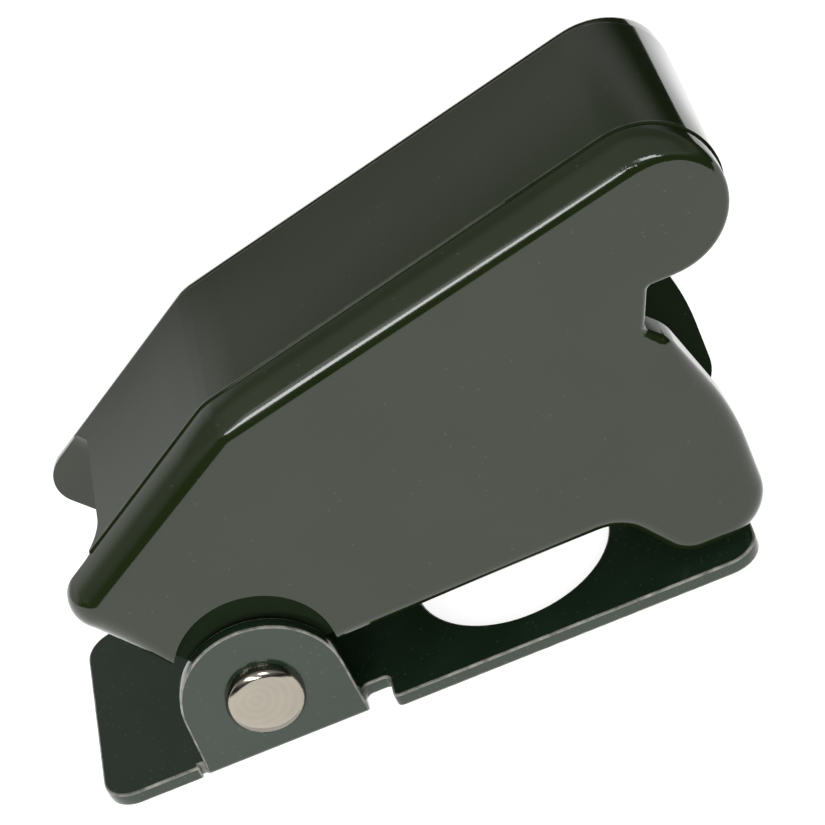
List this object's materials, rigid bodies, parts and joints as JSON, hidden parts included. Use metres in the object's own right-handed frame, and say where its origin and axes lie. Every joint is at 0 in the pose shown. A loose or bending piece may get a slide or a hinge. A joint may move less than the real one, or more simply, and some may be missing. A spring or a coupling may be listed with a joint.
{
  "type": "toggle switch cover",
  "caption": "Flip-up guard for a toggle switch: an open-bottomed hood hinged between the ears of a flat base plate with a hole for the switch bush.",
  "frame": {"origin": "centre of the switch bush hole on the underside of the base plate", "axes": "+Z along the bush hole, up out of the panel; +X from the hinge towards the nose of the hood"},
  "size_m": [0.0467, 0.0174, 0.029],
  "materials": {
    "plate": "dark green-black paint",
    "hood": "glossy black-green moulding",
    "pin": "plated",
    "spring": "bright wire"
  },
  "bodies": {
    "base": {"base_plate": "plate", "hinge_pin": "pin", "torsion_spring": "spring"},
    "hood": {"cover": "hood"}
  },
  "joints": [
    {"name": "cover_hinge", "type": "hinge", "parent": "base", "child": "hood", "pos_m": [-0.01575, 0, 0.00395], "axis": [0, -1, 0], "range_deg": [0, 62], "stiffness_Nm_per_rad": 0.004, "springref_deg": -57.3, "deforming": ["torsion_spring"]}
  ]
}
